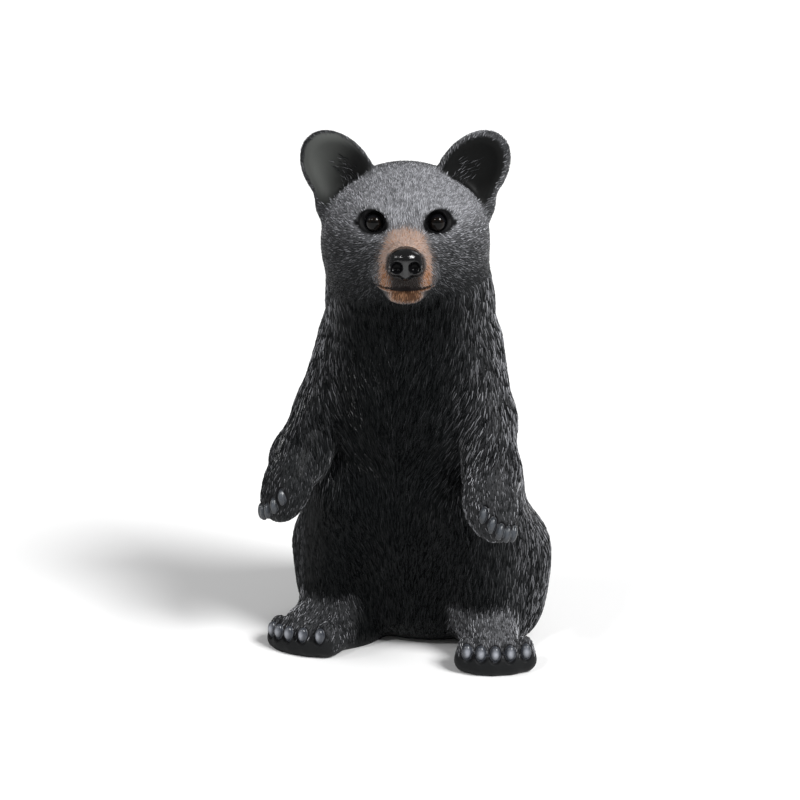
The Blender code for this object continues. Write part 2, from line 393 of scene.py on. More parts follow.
def cast_figure():
    bm = rough_masses()
    mesh = bpy.data.meshes.new("masses")
    bm.to_mesh(mesh)
    bm.free()
    mesh.transform(Matrix.Scale(UNIT, 4))
    rough = new_piece("masses", mesh)
    remesh = rough.modifiers.new("one skin", "REMESH")
    remesh.mode = "VOXEL"
    remesh.voxel_size = CASTING_GRID
    skin = evaluated(rough)
    bpy.data.objects.remove(rough)
    for rounds in (3, 1, 1):
        skin.vertices.foreach_set("co", (settle(points_of(skin) / UNIT, rounds) * UNIT).ravel())
        bm = bmesh.new()
        bm.from_mesh(skin)
        for _ in range(2):
            relax(bm, bm.verts, 0.5)
        bm.to_mesh(skin)
        bm.free()
    for spots in FINE:
        bm = bmesh.new()
        bm.from_mesh(skin)
        co = points_of(skin) / UNIT
        near = np.zeros(len(co), bool)
        for place, reach in spots:
            near |= np.linalg.norm(co - place, axis=1) < reach
        bm.verts.ensure_lookup_table()
        faces = [f for f in bm.faces if any(near[v.index] for v in f.verts)]
        edges = list({e for f in faces for e in f.edges})
        bmesh.ops.subdivide_edges(bm, edges=edges, cuts=1, use_grid_fill=True)
        bm.to_mesh(skin)
        bm.free()
        for last in (False, False, True):
            co = points_of(skin) / UNIT
            near = np.zeros(len(co), bool)
            for place, reach in spots:
                near |= np.linalg.norm(co - place, axis=1) < reach + 6
            co[near] = settle(co[near], 2)
            skin.vertices.foreach_set("co", (co * UNIT).ravel())
            if not last:
                bm = bmesh.new()
                bm.from_mesh(skin)
                bm.verts.ensure_lookup_table()
                loose = [bm.verts[i] for i in np.flatnonzero(near)]
                relax(bm, loose, 0.4)
                bm.to_mesh(skin)
                bm.free()
    skin.vertices.foreach_set("co", (settle(points_of(skin) / UNIT, 1) * UNIT).ravel())

    bm = bmesh.new()
    bm.from_mesh(skin)
    everything = bm.verts[:] + bm.edges[:] + bm.faces[:]
    cut = bmesh.ops.bisect_plane(
        bm, geom=everything, dist=1e-6, plane_co=(0, 0, 0), plane_no=(0, 0, -1), clear_outer=True
    )
    edges = [e for e in cut["geom_cut"] if isinstance(e, bmesh.types.BMEdge)]
    bmesh.ops.holes_fill(bm, edges=edges, sides=0)
    bmesh.ops.triangulate(bm, faces=bm.faces[:])
    bmesh.ops.recalc_face_normals(bm, faces=bm.faces[:])
    bm.to_mesh(skin)
    bm.free()
    skin.name = "casting"
    return skin


skin = cast_figure()
# The middle of the underside, found from the left eye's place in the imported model.
low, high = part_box("eye_left")
middle = Vector(eye_places[0] * UNIT) - (low + high) / 2
units = points_of(skin) / UNIT
skin.transform(Matrix.Translation(-middle))
print("casting triangles", len(skin.polygons), "middle", middle)


def step(a, b, x):
    """0 below a, 1 above b, smooth between."""
    t = np.clip((x - a) / (b - a), 0.0, 1.0)
    return t * t * (3.0 - 2.0 * t)


def keep(mesh, name, values):
    """Stores one number or one vector for each point of a mesh."""
    kind, key = ("FLOAT", "value") if values.ndim == 1 else ("FLOAT_VECTOR", "vector")
    layer = mesh.attributes.new(name, kind, "POINT")
    layer.data.foreach_set(key, values.astype(np.float32).ravel())


frames = frames_of(units)
head = frames["head"]
pair = frames["pair"]
# The head's own axes once more, with its left and right told apart.
own = (units - np.array(HEAD_CENTRE)) @ HEAD_AXES
aside, ahead, up = head.T
head_d = part_distance(head_forms()[:6], head)
ear_d = part_distance(ear_forms()[:2], head)
nose_d = part_distance(nose_forms(), head)
torso_d = np.minimum(part_distance(torso_forms(), units), part_distance(arm_forms()[:3], pair))
claw_d = np.full(len(units), 99.0)
for place, turn in foot_claws(*LEFT_FOOT) + foot_claws(*RIGHT_FOOT):
    claw_d = np.minimum(claw_d, distance("mass", (place, np.array(FOOT_CLAW), turn), units))
for place, turn in hand_claws():
    claw_d = np.minimum(claw_d, distance("mass", (place, np.array(HAND_CLAW), turn), pair))
on_head = step(6, -6, head_d - torso_d)
on_ear = step(3, -3, ear_d - head_d)

nose = (1 - step(0.5, 1.6, nose_d)) * on_head
claw = 1 - step(0.3, 0.9, claw_d)
# The painted black round each eye: close to the ball below, drawn out to the outer corner, and higher above,
# where it is also painted shadow of the brow.
LID_OUT = 29.8
LID_UP = 25.6
LID_HALF_WIDTH = 15.4
LID_ABOVE = 15.5
LID_BELOW = 10.0
lid_x = (aside - LID_OUT) / LID_HALF_WIDTH
lid_z = (up - LID_UP) / np.where(up > LID_UP, LID_ABOVE, LID_BELOW)
lid_d = np.sqrt(lid_x ** 2 + lid_z ** 2)
corner = step(3.4, 1.6, np.abs(up - 25.0)) * step(49.5, 45, aside) * step(34, 38, aside)
face = step(-38, -46, ahead) * on_head
lid = np.maximum(1 - step(0.84, 1.04, lid_d), corner) * face
# Muzzle paint: tan on top of the snout, orange at the sides of the lips, and dark round the nose; the chin
# is painted dark brown as painted shade, darker still underneath and at its sides, where it also meets the
# black fur. The mouth rises to its corners and is thickest in its middle.
MOUTH_UP = -25.5
MOUTH_HALF_WIDTH = 30.0
MOUTH_RISE = 3.0
snout = step(-57, -73, ahead + aside * 0.25 + np.maximum(up - 17, 0) * 0.9)
narrower = step(-2, 20, up)
snout *= (1 - step(15 - 4 * narrower, 31 - 7 * narrower, aside)) * step(-46, -34, up) * on_head
lip_line = np.abs(up - MOUTH_UP - (aside / MOUTH_HALF_WIDTH) ** 2 * MOUTH_RISE)
parted = 1.1 * (1 - step(6, 18, aside))
mouth = (1 - step(1.5, 3.2, lip_line - parted)) * step(-60, -70, ahead) * (1 - step(28, 32, aside))
mouth = mouth * (1 - nose) * on_head
below_nose = (1 - step(10, 21, aside)) * step(-4, -10, up) * step(-29, -26, up)
beside_nose = (1 - step(1.0, 5.5, nose_d)) * step(10, 2, up)
dark_lip = np.maximum(below_nose, beside_nose)
orange = step(4, -12, up)
chin = step(-27, -29, up)
# The chin's sides and underneath are painted darker: painted shade, and at the sides also the edge of the
# black fur.
chin_edge_shade = chin * np.clip(step(9, 20, aside) + step(-35, -42, up), 0, 1)
# A grey strip down the nose between the nostrils: painted highlight on the septum's ridge.
septum = nose * (1 - step(1.6, 2.6, aside)) * step(4.5, 2.5, up) * step(-15, -12, up)
ear_edge = distance("hollow", ear_forms()[2][1], head)
smooth_rim = 3.6 + 2.6 * step(0, -20, own[:, 0])
inner_ear = (1 - step(0.0, 2.2, ear_edge - smooth_rim)) * on_ear
# The right ear's hollow is painted paler towards its rim and top, a painted light; the left one stays black,
# a painted shade.
ear_pale = step(0, -20, own[:, 0]) * step(48, 88, aside + (up - 55) * 0.35) * step(14, 44, up)
masks = {
    "nose": nose, "claw": claw, "lid": lid, "snout": snout, "orange": orange, "mouth": mouth,
    # Under the muzzle's hair the chin is painted dark as well: painted shade.
    "dark_lip": np.maximum(dark_lip, chin * (0.62 + 0.38 * chin_edge_shade)),
    "septum": septum, "inner_ear": inner_ear, "ear_pale": ear_pale,
}
for name, values in masks.items():
    keep(skin, name, values)


class Shader:
    """A material's node tree, built one node at a time."""

    def __init__(self, name):
        self.mat = bpy.data.materials.new(name)
        self.mat.use_nodes = True
        self.tree = self.mat.node_tree
        self.surface = self.tree.nodes["Principled BSDF"]

    def node(self, kind, inputs=(), **settings):
        node = self.tree.nodes.new(kind)
        for key, value in settings.items():
            setattr(node, key, value)
        for key, value in dict(inputs).items():
            self.put(node.inputs[key], value)
        return node

    def put(self, socket, value):
        if isinstance(value, bpy.types.NodeSocket):
            self.tree.links.new(value, socket)
        else:
            socket.default_value = value

    def value_of(self, name):
        return self.node("ShaderNodeAttribute", attribute_name=name).outputs["Fac"]

    def where(self):
        return self.node("ShaderNodeTexCoord").outputs["Object"]

    def noise(self, scale, detail=3.0, rough=0.6):
        return self.node(
            "ShaderNodeTexNoise",
            {"Vector": self.where(), "Scale": scale, "Detail": detail, "Roughness": rough},
        ).outputs["Fac"]

    def ramp(self, value, low, high, to_low=0.0, to_high=1.0):
        node = self.node("ShaderNodeMapRange", {"Value": value, "From Min": low, "From Max": high,
                                                "To Min": to_low, "To Max": to_high})
        return node.outputs["Result"]

    def maths(self, kind, a, b):
        node = self.node("ShaderNodeMath", operation=kind)
        self.put(node.inputs[0], a)
        self.put(node.inputs[1], b)
        return node.outputs[0]

    def blend(self, share, a, b):
        node = self.node("ShaderNodeMix", data_type="RGBA")
        self.put(node.inputs["Factor"], share)
        self.put(node.inputs["A"], a if isinstance(a, bpy.types.NodeSocket) else (*a, 1.0))
        self.put(node.inputs["B"], b if isinstance(b, bpy.types.NodeSocket) else (*b, 1.0))
        return node.outputs["Result"]

    def bump(self, height, distance, strength):
        inputs = {"Height": height, "Distance": distance, "Strength": strength}
        return self.node("ShaderNodeBump", inputs).outputs["Normal"]

    def finish(self, **sockets):
        for name, value in sockets.items():
            socket = self.surface.inputs[name.replace("_", " ")]
            if isinstance(value, tuple):
                value = (*value, 1.0)
            self.put(socket, value)
        return self.mat


CHARCOAL = (0.0042, 0.0050, 0.0053)
GREY = (0.56, 0.565, 0.60)
TAN = (0.44, 0.325, 0.275)
TAN_CUTS = (0.15, 0.095, 0.07)
ORANGE = (0.42, 0.19, 0.085)
DARK_LIP_AND_CHIN_SHADE = (0.022, 0.019, 0.018)
MOUTH_BLACK = (0.010, 0.008, 0.008)
BLACK = (0.0035, 0.0035, 0.0040)
SEPTUM_SHINE = (0.022, 0.023, 0.024)
EAR_BLACK = (0.0060, 0.0062, 0.0062)
EAR_LIT_GREY = (0.078, 0.082, 0.078)
PAD = (0.0115, 0.0120, 0.0125)
PEARL_LIT = (0.33, 0.345, 0.385)
PEARL_SHADED = (0.040, 0.044, 0.054)
SLATE_LIT = (0.072, 0.080, 0.092)
SLATE_SHADED = (0.018, 0.020, 0.024)
CLAW_VEIN = (0.030, 0.034, 0.040)
CLAW_RING_SHADE = (0.006, 0.006, 0.007)


def resin_paint(name, gloss):
    """The casting's paint: matt brushed grey over charcoal, with each painted spot laid over it in turn."""
    s = Shader(name)
    mottle = s.ramp(s.noise(260.0, 3.0, 0.65), 0.35, 0.75, 0.03, 0.22)
    colour = s.blend(s.maths("MULTIPLY", mottle, s.value_of("pale")), CHARCOAL, GREY)
    # Painted light in the right ear's hollow, paler towards its rim and top.
    ear = s.blend(s.value_of("ear_pale"), EAR_BLACK, EAR_LIT_GREY)
    colour = s.blend(s.value_of("inner_ear"), colour, ear)
    hairs = s.ramp(s.noise(620.0, 2.0, 0.7), 0.35, 0.75)
    warm = s.blend(s.value_of("orange"), TAN, ORANGE)
    warm = s.blend(s.maths("MULTIPLY", hairs, 0.5), warm, TAN_CUTS)
    # Dark round the nose, and dark on the chin as painted shade.
    warm = s.blend(s.value_of("dark_lip"), warm, DARK_LIP_AND_CHIN_SHADE)
    colour = s.blend(s.value_of("snout"), colour, warm)
    colour = s.blend(s.value_of("mouth"), colour, MOUTH_BLACK)
    # Black paint round the eyes, higher above them as painted shadow of the brow.
    colour = s.blend(s.value_of("lid"), colour, BLACK)
    colour = s.blend(s.value_of("nose"), colour, BLACK)
    # Painted highlight on the septum between the nostrils.
    colour = s.blend(s.value_of("septum"), colour, SEPTUM_SHINE)
    colour = s.blend(s.value_of("pads"), colour, PAD)
    veins = s.ramp(s.noise(240.0, 3.0), 0.3, 0.7)
    # Each claw runs from a shaded colour at its edges to a lit one in its middle: painted highlight and
    # shade.
    pearl = s.blend(s.value_of("claw_highlight"), PEARL_SHADED, PEARL_LIT)
    slate = s.blend(s.value_of("claw_highlight"), SLATE_SHADED, SLATE_LIT)
    claw = s.blend(s.value_of("claw_pale"), slate, pearl)
    claw = s.blend(s.maths("MULTIPLY", veins, 0.35), claw, CLAW_VEIN)
    # A dark ring round each claw: painted shade in the groove it is set in.
    colour = s.blend(s.value_of("claw_groove_shade"), colour, CLAW_RING_SHADE)
    colour = s.blend(s.value_of("claw"), colour, claw)
    rough = s.ramp(s.noise(160.0, 3.0), 0.3, 0.7, 0.42, 0.56)
    rough = s.maths("SUBTRACT", rough, s.maths("MULTIPLY", s.value_of("nose"), 0.36))
    rough = s.maths("SUBTRACT", rough, s.maths("MULTIPLY", s.value_of("claw"), 0.22))
    rough = s.maths("SUBTRACT", rough, s.maths("MULTIPLY", s.value_of("lid"), 0.20))
    grain = s.bump(s.noise(900.0, 3.0), 0.00025, 0.5)
    return s.finish(Base_Color=colour, Roughness=rough, Normal=grain, Specular_IOR_Level=gloss)


skin.shade_smooth()
casting = new_piece("casting", skin)
skin.materials.clear()
skin.materials.append(resin_paint("painted resin", 0.07))
# The nose and the claws are lacquered.
skin.materials.append(resin_paint("lacquered resin", 0.5))
corners = np.empty(len(skin.polygons) * 3, np.int32)
skin.polygons.foreach_get("vertices", corners)
nostril_d = distance("hollow", NOSTRIL[1], head)
lacquer = np.maximum(nose * step(0.2, 1.2, nostril_d), claw)
lacquered = lacquer[corners].reshape(-1, 3).mean(axis=1) > 0.5
skin.polygons.foreach_set("material_index", lacquered.astype(np.int32))
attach(casting, "root")
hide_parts("bear")


# The eyes. Two ready-made glass balls, dark brown round a black pupil, are glued into the sockets. The
# packed balls stay as they are; the iris is painted by its angle from the way the eye looks.
PUPIL_BLACK = (0.002, 0.002, 0.002)
IRIS_BROWN = (0.0065, 0.0040, 0.0028)
IRIS_DARK = (0.003, 0.0025, 0.002)
GLASS_RIM = (0.004, 0.004, 0.005)


def eye_glass(name, centre):
    s = Shader(name)
    gaze = tuple(HEAD_AXES @ np.array((0.0, -1.0, 0.0)))

    def vector(kind, inputs):
        return s.node("ShaderNodeVectorMath", inputs, operation=kind).outputs

    place = vector("SUBTRACT", {0: s.where(), 1: tuple(centre)})[0]
    unit = vector("NORMALIZE", {0: place})[0]
    facing = vector("DOT_PRODUCT", {0: unit, 1: gaze})["Value"]
    fibres = s.ramp(s.noise(700.0, 3.0), 0.35, 0.7)
    iris = s.blend(fibres, IRIS_BROWN, IRIS_DARK)
    colour = s.blend(s.ramp(facing, 0.60, 0.70), GLASS_RIM, iris)
    colour = s.blend(s.ramp(facing, 0.87, 0.90), colour, PUPIL_BLACK)
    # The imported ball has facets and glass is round, so its shine follows the way out from its middle.
    return s.finish(Base_Color=colour, Roughness=0.06, Specular_IOR_Level=0.17, Normal=unit)


for side in ("left", "right"):
    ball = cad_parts[f"eye_{side}"]
    low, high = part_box(f"eye_{side}")
    ball.data.materials.clear()
    ball.data.materials.append(eye_glass(f"glass eye {side}", (low + high) / 2))


# The carved fur. Every lock is a low ridge cut into the master and cast in one with the bear, lying along
# the coat: short and fine on the head, long on the body. Its lie, length and paint are kept on the casting.
def coat_flow():
    """The way the coat lies at each point of the casting; on the head it runs back from the nose."""
    # A place, the coat's way there, and how far round it that counts.
    anchors = [
        ((0, 60, 300), (0, 0, -1), 70), ((0, 10, 380), (0, 0.4, -1), 45),
        ((45, 30, 330), (0.35, 0.1, -1), 45), ((0, -105, 330), (0, 0, -1), 36),
        ((40, -95, 300), (-0.45, 0, -1), 36), ((0, -108, 240), (0, 0, -1), 36),
        ((48, -90, 225), (-0.65, 0, -0.8), 36), ((0, -97, 120), (0, 0, -1), 44),
        ((46, -85, 120), (-0.55, 0, -0.8), 34), ((0, -80, 50), (0, 0, -1), 40),
        ((50, -60, 60), (-0.5, 0, -0.8), 26), ((80, -50, 330), (0.3, -0.1, -1), 36),
        ((102, -64, 265), (0.1, -0.35, -1), 34), ((112, -95, 215), (0.1, -0.75, -0.8), 30),
        ((80, -95, 215), (-0.2, -0.7, -0.8), 26), ((100, -145, 180), (0.1, -0.3, -1), 28),
        ((125, 0, 130), (0.15, -0.3, -1), 44), ((84, -92, 150), (0.3, -0.15, -1), 34),
        ((120, -40, 90), (0.1, -0.3, -1), 40), ((90, -80, 80), (0.1, -0.2, -1), 30),
        ((95, -90, 44), (0.3, -1, -0.5), 26), ((0, 105, 100), (0, 0, -1), 60),
        ((85, 70, 90), (0.35, -0.2, -1), 50), ((60, 70, 220), (0.25, -0.1, -1), 60),
    ]
    total = np.zeros_like(units)
    for centre, way, reach in anchors:
        weight = np.exp(-((pair - centre) ** 2).sum(axis=1) / reach ** 2) + 1e-7
        way = np.array(way, float) / np.linalg.norm(way)
        total += weight[:, None] * way
    total[:, 0] *= np.sign(units[:, 0])
    total /= np.linalg.norm(total, axis=1)[:, None] + 1e-9
    side = np.sign(own[:, 0])
    away = own - (0, -88, 6)
    away /= np.linalg.norm(away, axis=1)[:, None]
    eye_out, eye_ahead, eye_up = EYE
    nearest_eye = np.column_stack([eye_out * side, np.full(len(own), eye_ahead), np.full(len(own), eye_up)])
    from_eye = own - nearest_eye
    gap = np.linalg.norm(from_eye, axis=1)
    away += from_eye / gap[:, None] * (np.exp(-((gap / 22) ** 2)) * 1.2)[:, None]
    away[:, 2] -= step(10, 60, own[:, 1]) * 0.8
    away = away @ HEAD_AXES.T
    total = total * (1 - on_head[:, None]) + away * on_head[:, None]
    return total


normals = slope(units)
normals /= np.linalg.norm(normals, axis=1)[:, None]
flow = coat_flow()
flow -= normals * (flow * normals).sum(axis=1)[:, None]
flow /= np.linalg.norm(flow, axis=1)[:, None] + 1e-9
keep(skin, "flow", flow)

hand_d = distance("mass", arm_forms()[3][1], pair)
on_hand = 1 - step(4, 16, hand_d)
on_foot = step(62, 46, units[:, 2]) * step(-52, -66, units[:, 1]) * step(40, 52, pair[:, 0])
short = np.maximum(on_hand, on_foot)
by_floor = np.clip((units[:, 2] - 2.0) / 16.0, 0.35, 1.0)
body_reach = (1.0 - 0.55 * short - 0.25 * on_head) * by_floor
# How pale the paint lies on the coat: most on the head, then the feet, hands, outer arms and shoulders;
# least on the throat, chest and belly, with the lap darkened as painted shadow of the hands; and less on
# the right side than on the left, as painted shade on the side away from the main light.
front_dark = step(-48, -84, units[:, 1]) * (1 - step(36, 66, pair[:, 0]))
# The lap is painted darker round and under the hands: painted shadow of the hands.
lap_shadow = step(0, -50, units[:, 1]) * (1 - step(98, 122, pair[:, 0])) * step(176, 150, units[:, 2])
front_dark = np.maximum(front_dark, lap_shadow * (1 - short) * (1 - step(6, 0, hand_d)))
outer = step(54, 100, pair[:, 0])
shoulder = step(215, 290, units[:, 2]) * step(50, 76, pair[:, 0])
body_pale = 0.085 + 0.13 * outer + 0.10 * shoulder + 0.16 * on_hand + 0.85 * on_foot
body_pale *= 1 - 0.78 * front_dark
# The lower body's right side is painted darker: painted shade on the side away from the main light.
body_pale *= 1 - 0.58 * step(20, -70, units[:, 0]) * step(300, 240, units[:, 2])
forehead = step(-4, 40, up) * step(26, -14, ahead)
cheek = step(-46, 10, up) * step(30, -20, ahead)
head_pale = 0.085 + 0.22 * cheek + 0.66 * forehead
# A paler ring round the black of each eye: painted highlight on the rim of the socket.
head_pale += 0.25 * face * step(1.0, 1.12, lid_d) * step(1.7, 1.3, lid_d)
# The head's right side is painted darker too: painted shade on the side away from the main light.
head_pale *= 1 - 0.30 * step(10, -60, own[:, 0])
head_pale *= 1 - 0.6 * on_ear
pale = np.clip(body_pale * (1 - on_head) + head_pale * on_head, 0, 1)
keep(skin, "pale", pale * (1 + 2.2 * forehead * on_head))

# Bare resin: nose, lips, claws and pads, soles, the ears' hollows, and the black round the eyes.
# A dark ring round each claw, in the groove it is set in: painted shade in the recess.
claw_groove_shade = (1 - step(1.4, 2.8, claw_d)) * (1 - claw)
on_soles = np.zeros(len(units))
pads = np.zeros(len(units))
claw_highlight = np.zeros(len(units))
# Each claw is painted pale in its middle, a little above, and dark towards its edges: a painted highlight
# and painted shade on its rounded face.
for place, turn in foot_claws(*LEFT_FOOT) + foot_claws(*RIGHT_FOOT):
    q = (units - place) @ turn
    core = np.hypot(q[:, 0] / FOOT_CLAW[0], (q[:, 2] - 0.8) / FOOT_CLAW[2])
    claw_highlight = np.maximum(claw_highlight, step(0.85, 0.1, core))
    below_toe = step(-2, -6, q[:, 2]) * step(34, 24, np.abs(q[:, 1])) * step(15, 10, np.abs(q[:, 0]))
    on_soles = np.maximum(on_soles, below_toe)
for place, turn in hand_claws():
    q = (pair - place) @ turn
    core = np.hypot((q[:, 0] + 1.2) / HAND_CLAW[0], (q[:, 2] - 1.5) / HAND_CLAW[2])
    claw_highlight = np.maximum(claw_highlight, step(1.0, 0.1, core))
    pads = np.maximum(pads, step(9, 7, np.linalg.norm(q / (1, 1.2, 1.5), axis=1)))
pads = np.maximum(pads * 0.6, on_soles)
bare = np.max([nose, 1 - step(0.8, 2.4, claw_d), pads, inner_ear, lid, mouth], axis=0)
bare = np.maximum(bare, step(7.0, 4.5, units[:, 2]))
keep(skin, "pads", pads)
keep(skin, "claw_groove_shade", claw_groove_shade)
keep(skin, "claw_highlight", claw_highlight)
keep(skin, "claw_pale", step(0.5, 1.0, short) * on_foot)


def lock_shape(name, stations):
    """A closed ridge one unit long and wide, three-sided at each station between two pointed ends."""
    bm = bmesh.new()
    crest = bm.verts.layers.float.new("crest")
    (y0, z0), *middle_stations, (y1, z1) = stations
    root = bm.verts.new((0, y0, z0))
    rings = []
    for y, half, low, top in middle_stations:
        ring = [bm.verts.new(c) for c in ((-half, y, low), (0, y, top), (half, y, low))]
        ring[1][crest] = 1.0
        rings.append(ring)
    tip = bm.verts.new((0, y1, z1))
    tip[crest] = 0.75
    for i in range(3):
        j = (i + 1) % 3
        bm.faces.new((root, rings[0][i], rings[0][j]))
        for a, b in zip(rings, rings[1:]):
            bm.faces.new((a[i], b[i], b[j], a[j]))
        bm.faces.new((rings[-1][i], tip, rings[-1][j]))
    bmesh.ops.triangulate(bm, faces=bm.faces[:])
    bmesh.ops.recalc_face_normals(bm, faces=bm.faces[:])
    mesh = bpy.data.meshes.new(name)
    bm.to_mesh(mesh)
    bm.free()
    return new_piece(name, mesh)


def coat_tree(lock, paint):
    """Locks laid over a casting: its named inputs are sizes in metres, and its seed is fixed."""
    tree = bpy.data.node_groups.new("carved coat", "GeometryNodeTree")
    tree.interface.new_socket("Casting", in_out="INPUT", socket_type="NodeSocketGeometry")
    usual = {"Spacing": 0.003, "Length": 0.015, "Width": 0.002, "Height": 0.0008, "Lift": 0.05, "Stray": 0.2,
             "Uneven": 0.7}
    for name, value in usual.items():
        socket = tree.interface.new_socket(name, in_out="INPUT", socket_type="NodeSocketFloat")
        socket.default_value = value
    tree.interface.new_socket("Seed", in_out="INPUT", socket_type="NodeSocketInt")
    tree.interface.new_socket("Locks", in_out="OUTPUT", socket_type="NodeSocketGeometry")
    new, link = tree.nodes.new, tree.links.new
    given = new("NodeGroupInput")
    result = new("NodeGroupOutput")

    def stored(name, kind="FLOAT"):
        node = new("GeometryNodeInputNamedAttribute")
        node.data_type = kind
        node.inputs["Name"].default_value = name
        return node.outputs["Attribute"]

    def maths(kind, a, b):
        node = new("ShaderNodeMath")
        node.operation = kind
        for socket, value in zip(node.inputs, (a, b)):
            if isinstance(value, (int, float)):
                socket.default_value = value
            else:
                link(value, socket)
        return node.outputs[0]

    def times(first, *rest):
        for value in rest:
            first = maths("MULTIPLY", first, value)
        return first

    def chance(low, high, more):
        node = new("FunctionNodeRandomValue")
        node.inputs[2].default_value = low
        node.inputs[3].default_value = high
        link(maths("ADD", given.outputs["Seed"], more), node.inputs["Seed"])
        return node.outputs[1]

    scatter = new("GeometryNodeDistributePointsOnFaces")
    scatter.distribute_method = "POISSON"
    link(given.outputs["Casting"], scatter.inputs["Mesh"])
    link(given.outputs["Spacing"], scatter.inputs["Distance Min"])
    per_area = maths("DIVIDE", 1.6, times(given.outputs["Spacing"], given.outputs["Spacing"]))
    link(per_area, scatter.inputs["Density Max"])
    link(stored("thick"), scatter.inputs["Density Factor"])
    link(given.outputs["Seed"], scatter.inputs["Seed"])

    lay = new("FunctionNodeAlignRotationToVector")
    lay.axis = "Y"
    lay.pivot_axis = "Z"
    link(scatter.outputs["Rotation"], lay.inputs["Rotation"])
    link(stored("flow", "FLOAT_VECTOR"), lay.inputs["Vector"])
    angles = new("ShaderNodeCombineXYZ")
    link(given.outputs["Lift"], angles.inputs["X"])
    link(times(given.outputs["Stray"], chance(-1.0, 1.0, 3)), angles.inputs["Z"])
    stray = new("FunctionNodeEulerToRotation")
    link(angles.outputs[0], stray.inputs[0])
    turn = new("FunctionNodeRotateRotation")
    turn.rotation_space = "LOCAL"
    link(lay.outputs[0], turn.inputs[0])
    link(stray.outputs[0], turn.inputs[1])

    sizes = new("ShaderNodeCombineXYZ")
    reach = stored("reach")
    girth = maths("POWER", reach, 0.5)
    link(times(given.outputs["Width"], chance(0.75, 1.3, 5), girth), sizes.inputs["X"])
    link(times(given.outputs["Length"], chance(0.75, 1.25, 7), reach), sizes.inputs["Y"])
    link(times(given.outputs["Height"], chance(0.7, 1.3, 11), girth), sizes.inputs["Z"])

    painted = new("GeometryNodeStoreNamedAttribute")
    painted.domain = "POINT"
    painted.inputs["Name"].default_value = "tone"
    link(scatter.outputs["Points"], painted.inputs["Geometry"])
    # Most locks are a little darker than the paint's own tone, and a few far brighter: brushing that lies
    # unevenly, and partly painted glints.
    rare = maths("SUBTRACT", times(maths("POWER", chance(0.0, 1.0, 13), 3.0), 4.0), 1.0)
    tone = times(stored("brushed"), maths("ADD", 1.0, times(given.outputs["Uneven"], rare)))
    link(maths("MAXIMUM", maths("MINIMUM", tone, 1.0), 0.0), painted.inputs["Value"])

    shape = new("GeometryNodeObjectInfo")
    shape.inputs["Object"].default_value = lock
    place = new("GeometryNodeInstanceOnPoints")
    link(painted.outputs["Geometry"], place.inputs["Points"])
    link(shape.outputs["Geometry"], place.inputs["Instance"])
    link(turn.outputs[0], place.inputs["Rotation"])
    link(sizes.outputs[0], place.inputs["Scale"])
    real = new("GeometryNodeRealizeInstances")
    link(place.outputs["Instances"], real.inputs["Geometry"])
    coloured = new("GeometryNodeSetMaterial")
    coloured.inputs["Material"].default_value = paint
    link(real.outputs["Geometry"], coloured.inputs["Geometry"])
    link(coloured.outputs["Geometry"], result.inputs["Locks"])
    return tree


def brushed_paint(name, cut, in_cuts):
    """Near-black paint in the cuts and a grey one brushed over the ridges."""
    s = Shader(name)
    crest = s.ramp(s.value_of("crest"), cut, 1.0, in_cuts, 1.0)
    brushed = s.maths("MULTIPLY", crest, s.value_of("tone"))
    colour = s.blend(brushed, CHARCOAL, GREY)
    return s.finish(Base_Color=colour, Roughness=0.27, Specular_IOR_Level=0.14)


MUZZLE_TINTS = {
    "soot": (0.012, 0.011, 0.011),
    "grey": (0.15, 0.148, 0.155),
    "tan": (0.52, 0.40, 0.345),
    "orange": (0.50, 0.27, 0.15),
    "shaded chin brown": (0.135, 0.062, 0.030),
    "cuts": (0.05, 0.035, 0.028),
}


def muzzle_paint():
    """Airbrushed from soot through grey, tan and orange to a dark brown, the chin's painted shade, over
    hairs with darker cuts.
    """
    s = Shader("airbrushed muzzle")
    tint = s.value_of("tone")
    soot, grey, tan, orange_hair, shaded_chin_brown, cuts = MUZZLE_TINTS.values()
    colour = s.blend(s.ramp(tint, 0.1, 0.3), soot, grey)
    colour = s.blend(s.ramp(tint, 0.3, 0.55), colour, tan)
    colour = s.blend(s.ramp(tint, 0.6, 0.78), colour, orange_hair)
    colour = s.blend(s.ramp(tint, 0.80, 0.92), colour, shaded_chin_brown)
    crest = s.ramp(s.value_of("crest"), 0.2, 1.0)
    colour = s.blend(crest, s.blend(0.75, colour, cuts), colour)
    return s.finish(Base_Color=colour, Roughness=0.45, Specular_IOR_Level=0.2)


def carve(name, tree, thick, reach, brushed, seed, **sizes):
    """One piece of the coat, with its locks made plain mesh, and a chart of its own by paint and height."""
    ground = new_piece(name, skin.copy())
    keep(ground.data, "thick", np.clip(thick, 0, 1))
    keep(ground.data, "reach", reach)
    keep(ground.data, "brushed", brushed)
    coat = ground.modifiers.new("coat", "NODES")
    coat.node_group = tree
    sizes = {**sizes, "Seed": seed}
    for socket in tree.interface.items_tree:
        if socket.in_out == "INPUT" and socket.name in sizes:
            coat[socket.identifier] = sizes[socket.name]
    locks = evaluated(ground)
    old = ground.data
    ground.modifiers.remove(coat)
    ground.data = locks
    bpy.data.meshes.remove(old)
    locks.name = name
    tone = np.empty(len(locks.vertices), np.float32)
    crest = np.empty(len(locks.vertices), np.float32)
    locks.attributes["tone"].data.foreach_get("value", tone)
    locks.attributes["crest"].data.foreach_get("value", crest)
    corner = np.empty(len(locks.loops), np.int32)
    locks.loops.foreach_get("vertex_index", corner)
    chart = locks.uv_layers.new(name="OFBake")
    margin = 0.04
    spread = np.column_stack([tone, crest]) * (1 - 2 * margin) + margin
    chart.data.foreach_set("uv", spread[corner].ravel())
    print(name, "triangles", len(locks.polygons))
    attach(ground, "root")


